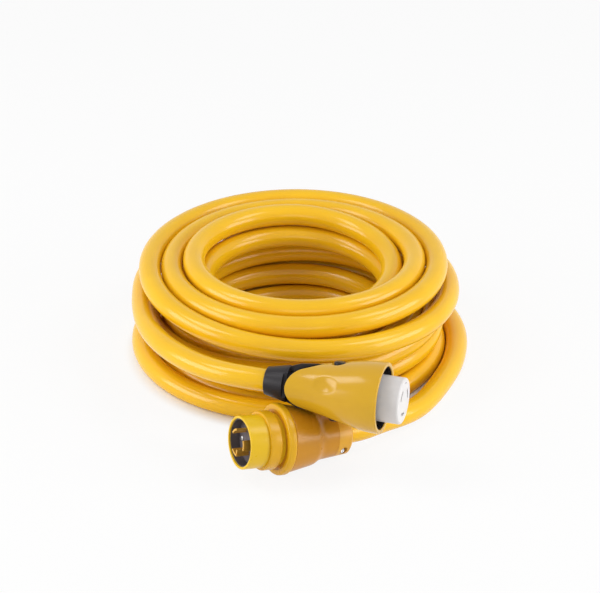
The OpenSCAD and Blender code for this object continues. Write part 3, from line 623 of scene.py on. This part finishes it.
def jaw_rows():
    """Places along the axis, close together at the round handle end, the hinge notch and the lip."""
    center = HANDLE_END_R - HANDLE_X
    ease = (1 - np.cos(np.linspace(0, math.pi, NOTCH_ROWS))) / 2
    tail = center - HANDLE_END_R * np.cos(np.linspace(0, math.pi / 2, TAIL_ROWS))
    return np.concatenate([
        tail,
        np.linspace(center, -NOTCH_R, HANDLE_ROWS)[1:-1],
        -NOTCH_R + 2 * NOTCH_R * ease,
        np.linspace(NOTCH_R, MOUTH_X - LIP_LENGTH - LIP_EASE, FLARE_ROWS)[1:],
        MOUTH_X - LIP_LENGTH + LIP_ROWS,
    ])


def jaw_shell_grid():
    """Near jaw as closed rings along the axis: outer arc, round edge, inner arc, round edge.

    The outer radius is the flare, less a round thumb dish, and both radii draw in to close the mouth.
    The second array flags the inside, short of the rim, for painted shade.
    """
    x = jaw_rows()[:, None]
    outer = jaw_radius(x)
    lip = smooth_step((x - MOUTH_X + LIP_LENGTH + LIP_EASE) / (2 * LIP_EASE))
    inner = outer - JAW_WALL - (LIP_DEPTH - (MOUTH_R - outer)) * lip
    half = jaw_half_angle(x, outer)
    edge = np.minimum(JAW_EDGE, MOST_EDGE * half * outer)
    front = np.clip((x - MOUTH_X + FRONT_ROUND) / FRONT_ROUND, 0, 1)
    draw = FRONT_ROUND * (1 - np.sqrt(np.maximum(1 - front ** 2, 0)))
    outer_front, inner_front = outer - draw, inner + INSIDE_DRAW * draw
    middle = (outer_front + inner_front) / 2
    outer_front[-1], inner_front[-1] = middle[-1], middle[-1]
    arc = np.linspace(-1, 1, ARC_POINTS)[None, :]
    span = half - edge / outer
    round_off = edge * (1 - np.cos(EDGE_BENDS)) * (1 - front)
    round_out, round_in = outer_front - round_off, inner_front + round_off
    step_out = span + edge / outer * np.sin(EDGE_BENDS)
    angle = np.concatenate([
        arc * span, step_out, step_out[:, ::-1], -arc * span, -step_out, -step_out[:, ::-1],
    ], 1)
    outer_row = np.broadcast_to(outer_front, (len(x), ARC_POINTS))
    inner_row = np.broadcast_to(inner_front, (len(x), ARC_POINTS))
    radius = np.concatenate([
        thumb_dish(x, arc * span, outer_row), round_out, round_in[:, ::-1],
        inner_row, round_in, round_out[:, ::-1],
    ], 1)
    along = np.broadcast_to(x, radius.shape)
    # Painted shade: the inner arc, short of the bare rim at the mouth, is flagged to be coloured near-black.
    inside = np.zeros(radius.shape)
    first_inner = ARC_POINTS + 2 * EDGE_BENDS.size
    inside[:, first_inner:first_inner + ARC_POINTS] = x < MOUTH_X - BARE_RIM
    return np.stack([along, -radius * np.cos(angle), radius * np.sin(angle)], -1), inside


def thumb_dish(x, angle, radius):
    """The outer radius, held back to a large sphere that dips into the handle, with a soft edge."""
    center = jaw_radius(DISH_X) + DISH_R - DISH_DEPTH
    off_center = angle - DISH_TURN
    inside = DISH_R ** 2 - (x - DISH_X) ** 2 - (center * np.sin(off_center)) ** 2
    sphere = center * np.cos(off_center) - np.sqrt(np.maximum(inside, 0))
    sphere = np.where(inside > 0, sphere, 2 * radius)
    blend = np.clip(0.5 + (sphere - radius) / (2 * DISH_SOFT), 0, 1)
    return sphere * (1 - blend) + radius * blend - DISH_SOFT * blend * (1 - blend)


def ear_grids(z0):
    """A flat ring round the hinge and the web that ties it to the near shell, clipped inside the shell."""
    a = np.linspace(0, 2 * math.pi, EAR_POINTS, endpoint=False)
    loop = np.array([
        [EAR_BORE_R, 0], [EAR_R - EAR_CHAMFER, 0], [EAR_R, EAR_CHAMFER], [EAR_R, EAR_T - EAR_CHAMFER],
        [EAR_R - EAR_CHAMFER, EAR_T], [EAR_BORE_R, EAR_T], [EAR_BORE_R, 0],
    ])
    ring = np.stack(np.broadcast_arrays(
        loop[:, :1] * np.cos(a), loop[:, :1] * np.sin(a), z0 + loop[:, 1:],
    ), -1)
    z_out = z0 + EAR_T if z0 > 0 else -z0
    under_shell = z_out < SHELL_AT_HINGE_R
    reach = math.sqrt(SHELL_AT_HINGE_R ** 2 - z_out ** 2) if under_shell else LEAST_REACH
    low, high = WEB_FACE_INSET, EAR_T - WEB_FACE_INSET
    section = np.array([[0, low], [0, high], [1, high], [1, low]])
    ends = np.array([[WEB_END_INSET - EAR_R], [EAR_R - WEB_END_INSET]])
    x, y, z = np.broadcast_arrays(
        ends, -WEB_ROOT - section[:, 0] * (reach - WEB_SHORTER), z0 + section[:, 1]
    )
    limit = np.sqrt((jaw_radius(x) - WEB_INSET) ** 2 - y ** 2)
    web = np.stack([x, y, np.clip(z, -limit, limit)], -1)
    return [(ring, True, ()), (web, True, ("first", "last"))]


def jaw_piece(name, node_name, body, turn):
    """One jaw: its shell and two ears, turned round the connector's axis and placed."""
    shell, inside = jaw_shell_grid()
    ears = ear_grids(OUTER_EAR_Z) + ear_grids(-INNER_EAR_Z - EAR_T)
    grids = [(shell, True, ())] + ears
    placed = [(at_connector(grid @ turn_x(turn).T), wrap, caps) for grid, wrap, caps in grids]
    # The shell carries the painted shade of its inside; the ears carry none.
    shade_marks = [inside] + [np.zeros(grid.shape[:2]) for grid, _, _ in ears]
    piece = make_piece(name, placed, YELLOW_SHELL, smooth_angle=35, shade_marks=shade_marks)
    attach(piece, body)
    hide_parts(node_name)


jaw_piece("near_jaw", "jaw_near", "jaw_near", 0)
jaw_piece("far_jaw", "jaw_far", "jaw_far", math.pi)

# Springs under the handles

SPRING_X = -34 * MM
SPRING_R = 4.4 * MM
SPRING_WIRE_R = 0.6 * MM
SPRING_CURLS = 4
SPRING_STEPS = 32
SPRING_SIDES = 10
SPRING_CLEAR = 0.3 * MM
SPRING_START_Y = 15.9 * MM
SPRING_END_Y = HANDLE_R - JAW_WALL - SPRING_WIRE_R - SPRING_CLEAR


def spring_grid():
    """Rings of wire along a helix that rises from the core to the near handle, each square to the wire."""
    turn = np.linspace(0, 2 * math.pi * SPRING_CURLS, SPRING_STEPS * SPRING_CURLS + 1)
    rise = np.linspace(SPRING_START_Y, SPRING_END_Y, len(turn))
    outward = np.stack([np.cos(turn), np.zeros(len(turn)), np.sin(turn)], -1)
    helix = SPRING_R * outward + np.stack([np.full(len(turn), SPRING_X), -rise, np.zeros(len(turn))], -1)
    across = unit(np.cross(np.gradient(helix, axis=0), outward))
    a = np.linspace(0, 2 * math.pi, SPRING_SIDES, endpoint=False)[None, :, None]
    return helix[:, None] + SPRING_WIRE_R * (np.cos(a) * outward[:, None] + np.sin(a) * across[:, None])


def spring_piece(name, node_name, turn):
    """One spring, seated on the core and pressed flatter as its handle closes."""
    grid = at_connector(spring_grid() @ turn_x(turn).T)
    piece = make_piece(name, [(grid, True, ("first", "last"))], STEEL)
    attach(piece, "cord")
    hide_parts(node_name)
    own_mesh(piece)


spring_piece("near_spring", "spring_near", 0)
spring_piece("far_spring", "spring_far", math.pi)

# Rubber sleeve behind the handles

RELIEF_FRONT_X = -57 * MM
RELIEF_REAR_R = 16.2 * MM
RELIEF_FRONT_R = 21.8 * MM
RELIEF_SLOPE_X = 2 * MM
RELIEF_SLOPE_R = 1 * MM
RELIEF_BORE_R = 13.3 * MM
RELIEF_SEAT_R = 15.35 * MM
RELIEF_SEAT_X = -70.15 * MM
TONGUE_END_X = -46.5 * MM
TONGUE_END_R = 25.2 * MM
TONGUE_HALF = 3.2 * MM
TONGUE_SINK = 1 * MM
FLAT_X = -61.5 * MM
FLAT_Y = 15.8 * MM


def relief_grid():
    """The sleeve's rounded outline carried round the axis; in front of FLAT_X its two sides are cut flat."""
    outline = rounded_profile([
        [RELIEF_END_X, RELIEF_BORE_R, 0.3 * MM], [RELIEF_END_X, RELIEF_REAR_R, 2.4 * MM],
        [RELIEF_FRONT_X - RELIEF_SLOPE_X, RELIEF_FRONT_R, 2 * MM],
        [RELIEF_FRONT_X, RELIEF_FRONT_R - RELIEF_SLOPE_R, 0.6 * MM], [RELIEF_FRONT_X, RELIEF_SEAT_R, 0],
        [RELIEF_SEAT_X, RELIEF_SEAT_R, 0], [RELIEF_SEAT_X, RELIEF_BORE_R, 0],
    ])
    split = 1 + int(np.argmax((outline[:-1, 0] < FLAT_X) & (outline[1:, 0] >= FLAT_X)))
    step = np.array([[FLAT_X, np.interp(FLAT_X, *outline[split - 1:split + 1].T)]] * 2)
    outline = np.concatenate([outline[:split], step, outline[split:]])
    grid = spun_grid(outline, count=120)
    front = (outline[:, 0] > FLAT_X - ROUND_OFF) & (outline[:, 1] > RELIEF_SEAT_R + ROUND_OFF)
    front[split] = False
    grid[:, front, 1] = np.clip(grid[:, front, 1], -FLAT_Y, FLAT_Y)
    return grid


def relief_tongue(side):
    """A narrow wedge on the front of the sleeve that meets the black strip between the handles.

    Four straight edges run from the sleeve to the strip, and the outer pair rises on the way.
    """
    x = np.array([RELIEF_FRONT_X - TONGUE_SINK, TONGUE_END_X])[:, None]
    outer = np.array([RELIEF_FRONT_R - TONGUE_SINK, TONGUE_END_R])[:, None]
    y = TONGUE_HALF * np.array([[-1, 1, 1, -1]])
    z = np.concatenate([np.full((2, 2), RELIEF_SEAT_R + TONGUE_SINK), outer, outer], 1)
    return np.stack(np.broadcast_arrays(x, side * y, side * z), -1)


relief_grids = [(relief_grid(), True, ())]
relief_grids += [(relief_tongue(side), True, ("first", "last")) for side in (-1, 1)]
relief = make_piece(
    "relief_sleeve", [(at_connector(grid), wrap, caps) for grid, wrap, caps in relief_grids], BLACK_RUBBER,
    smooth_angle=40,
)
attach(relief, "cord")
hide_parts("strain_relief")

# Sleeve, ring and cover of the plug

SLEEVE_R = 31 * MM
SLEEVE_BORE_R = 28 * MM
RING_SEAT_R = 30.6 * MM
RING_X = -24 * MM
RING_LENGTH = 14.5 * MM
RING_R = 34.4 * MM
SHOULDER_X = -52 * MM
FLANGE_X = -44 * MM
BARREL_X = -54 * MM
BARREL_R = 40.4 * MM
BARREL_END_X = -88 * MM
BARREL_END_R = 34 * MM
NOSE_R = 35 * MM
NECK_X = -96 * MM
NECK_FRONT_R = 29 * MM
NECK_R = 25 * MM
NECK_CHAMFER = 2 * MM
SADDLE_X = -116 * MM
CLAMP_TURN = math.radians(20)
SEAT_GAP = 0.15 * MM
PLUG_BORE_R = CABLE_R + 0.3 * MM
CAVITY_R = 24 * MM
CAVITY_END_X = -78 * MM


def plug_piece(name, node_name, grids, material):
    """One piece of the plug, placed and standing for its solid."""
    placed = [(at_plug(grid), wrap, caps) for grid, wrap, caps in grids]
    piece = make_piece(name, placed, material, smooth_angle=40)
    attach(piece, "cord")
    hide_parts(node_name)
    return piece


sleeve_outline = rounded_profile([
    [SHOULDER_X + SEAT_GAP, SLEEVE_BORE_R, 0], [SHOULDER_X + SEAT_GAP, RING_SEAT_R, 0],
    [RING_X, RING_SEAT_R, 0], [RING_X, SLEEVE_R, 0], [0, SLEEVE_R, 1.2 * MM], [0, SLEEVE_BORE_R, 0.8 * MM],
])
plug_sleeve = plug_piece(
    "sleeve", "plug_sleeve", [(spun_grid(sleeve_outline), True, ())], LEMON_SHELL
)
ring_outline = rounded_profile([
    [RING_X - RING_LENGTH, RING_SEAT_R + SEAT_GAP, 0], [RING_X - RING_LENGTH, RING_R, 1.5 * MM],
    [RING_X - SEAT_GAP, RING_R, 4.5 * MM], [RING_X - SEAT_GAP, RING_SEAT_R + SEAT_GAP, 0],
])
collar_ring = plug_piece(
    "sleeve_ring", "collar_ring", [(spun_grid(ring_outline), True, ())], BRIGHT_SHELL
)
flange_outline = rounded_profile([
    [FLANGE_X, NOSE_R + SEAT_GAP, 0.3 * MM], [FLANGE_X, FLANGE_R, 5 * MM],
    [FLANGE_BACK_X, FLANGE_R, 1.5 * MM], [BARREL_X + SEAT_GAP, BARREL_R, 0.5 * MM],
    [BARREL_X + SEAT_GAP, NOSE_R + SEAT_GAP, 0],
])
grip_flange = plug_piece(
    "flange", "grip_flange", [(spun_grid(flange_outline), True, ())], BRIGHT_SHELL
)

# The neck narrows on a straight line from its front to its chamfered rear end
cover_back_x = SADDLE_X + SEAT_GAP
neck_rear_x = NECK_CHAMFER - PLUG_LENGTH
neck_back_r = float(np.interp(cover_back_x, [neck_rear_x, NECK_X], [NECK_R, NECK_FRONT_R]))
cover_profile = rounded_profile([
    [FLANGE_X, RING_SEAT_R + SEAT_GAP, 0], [FLANGE_X, NOSE_R, 0], [BARREL_X, NOSE_R, 0],
    [BARREL_X, BARREL_R, 1.2 * MM], [BARREL_END_X, BARREL_END_R, 4 * MM],
    [NECK_X, NECK_FRONT_R, 5 * MM], [cover_back_x, neck_back_r, 0],
    [cover_back_x, PLUG_BORE_R, 0], [PLUG_CABLE_END_X, PLUG_BORE_R, 0], [CAVITY_END_X, CAVITY_R, 0],
    [SHOULDER_X, CAVITY_R, 0], [SHOULDER_X, RING_SEAT_R + SEAT_GAP, 0],
])
neck_outline = rounded_profile([
    [-PLUG_LENGTH, PLUG_BORE_R, 0.4 * MM], [-PLUG_LENGTH, NECK_R - NECK_CHAMFER, 1 * MM],
    [neck_rear_x, NECK_R, 1.5 * MM], [cover_back_x, neck_back_r, 0], [cover_back_x, PLUG_BORE_R, 0],
])
plug_cover = plug_piece(
    "cover", "plug_cover",
    [
        (spun_grid(cover_profile), True, ()),
        (
            spun_grid(neck_outline, start=math.pi / 2 + CLAMP_TURN, sweep=math.pi, count=48),
            True, ("first", "last"),
        ),
    ],
    AMBER_SHELL,
)

# What hangs on the free end of the cable

SHOWN_PLUG_NODES = [
    "ground_liner", "blade_carrier", "carrier_plate", "line_blades", "neutral_blade", "face_screws",
    "plug_terminal_screws", "clamp_saddle", "clamp_screws", "gland_seal", "plug_wires",
]
plug_pieces = [plug_sleeve, collar_ring, grip_flange, plug_cover]
plug_pieces += [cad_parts[name] for name in SHOWN_PLUG_NODES]

# Floor, background and light

FLOOR_HALF = 1.6
FLOOR_DROP = 0.4 * MM
FLOOR_GLOW = 0.88
WORLD_LIGHT = 0.36
LIGHT_TARGET = (0, 0, 0.05)


def seen_directly(tree):
    """One for rays from the camera, from a glossy surface or through a clear one, and zero for other rays."""
    ray = node(tree, "ShaderNodeLightPath")
    total = ray.outputs["Is Camera Ray"]
    for kind in ("Is Glossy Ray", "Is Transmission Ray"):
        either = node(tree, "ShaderNodeMath", operation="MAXIMUM")
        tree.links.new(total, either.inputs[0])
        tree.links.new(ray.outputs[kind], either.inputs[1])
        total = either.outputs[0]
    return total


floor_material = bpy.data.materials.new("pale_floor")
floor_material.use_nodes = True
floor_tree = floor_material.node_tree
floor_shader = floor_tree.nodes["Principled BSDF"]
floor_shader.inputs["Base Color"].default_value = (0.86, 0.86, 0.86, 1)
floor_shader.inputs["Roughness"].default_value = 0.9
floor_shader.inputs["Specular IOR Level"].default_value = 0.1
floor_glow = node(floor_tree, "ShaderNodeEmission", Color=(1, 1, 1, 1), Strength=1.0)
floor_mix = node(floor_tree, "ShaderNodeMixShader")
seen = seen_directly(floor_tree)
place = node(floor_tree, "ShaderNodeTexCoord")
from_middle = node(floor_tree, "ShaderNodeVectorMath", operation="DISTANCE")
from_middle.inputs[1].default_value = COIL_CENTER
# White outside the pile, plainly lit inside and under it
outside = node(floor_tree, "ShaderNodeMapRange", interpolation_type="SMOOTHSTEP")
outside.inputs["From Min"].default_value = FIRST_LOOP_R - CABLE_R
outside.inputs["From Max"].default_value = FIRST_LOOP_R + CABLE_R
outside.inputs["To Max"].default_value = FLOOR_GLOW
share = node(floor_tree, "ShaderNodeMath", operation="MULTIPLY")
floor_tree.links.new(place.outputs["Object"], from_middle.inputs[0])
floor_tree.links.new(from_middle.outputs["Value"], outside.inputs["Value"])
floor_tree.links.new(seen, share.inputs[0])
floor_tree.links.new(outside.outputs["Result"], share.inputs[1])
floor_tree.links.new(share.outputs[0], floor_mix.inputs[0])
floor_tree.links.new(floor_shader.outputs[0], floor_mix.inputs[1])
floor_tree.links.new(floor_glow.outputs[0], floor_mix.inputs[2])
floor_tree.links.new(floor_mix.outputs[0], floor_tree.nodes["Material Output"].inputs["Surface"])

floor_ends = np.array([-FLOOR_HALF, FLOOR_HALF])
floor_grid = np.stack(np.broadcast_arrays(floor_ends[None, :], floor_ends[:, None], -FLOOR_DROP), -1)
floor = make_piece("floor", [(floor_grid, False, ())], floor_material)

world = bpy.data.worlds.new("studio")
bpy.context.scene.world = world
world.use_nodes = True
background = world.node_tree.nodes["Background"]
background.inputs["Color"].default_value = (1, 1, 1, 1)
# White where it is seen, about a third as bright as a light
brightness = node(world.node_tree, "ShaderNodeMapRange")
brightness.inputs["To Min"].default_value = WORLD_LIGHT
world.node_tree.links.new(seen_directly(world.node_tree), brightness.inputs["Value"])
world.node_tree.links.new(brightness.outputs["Result"], background.inputs["Strength"])


def softbox(name, place, width, height, power):
    """A flat rectangular lamp that points from its place to the middle of the part."""
    lamp = bpy.data.lights.new(name, "AREA")
    lamp.shape = "RECTANGLE"
    lamp.size, lamp.size_y = width, height
    lamp.energy = power
    piece = bpy.data.objects.new(name, lamp)
    bpy.context.scene.collection.objects.link(piece)
    piece.location = place
    back = unit(np.array(place) - np.array(LIGHT_TARGET))
    piece.rotation_euler = (math.acos(back[2]), 0, math.atan2(back[1], back[0]) + math.pi / 2)


softbox("left_softbox", (-1.5, -0.1, 2.1), 0.8, 1.1, 16)
softbox("right_softbox", (1.5, -0.1, 2.1), 0.8, 1.1, 15)
softbox("left_card", (-2.4, -0.6, 0.7), 1.8, 1.2, 35)
softbox("right_card", (2.4, -0.6, 0.7), 1.8, 1.2, 35)
softbox("front_card", (0, -2.6, 1.0), 2.0, 0.9, 8)

bpy.context.scene.view_settings.view_transform = "Standard"
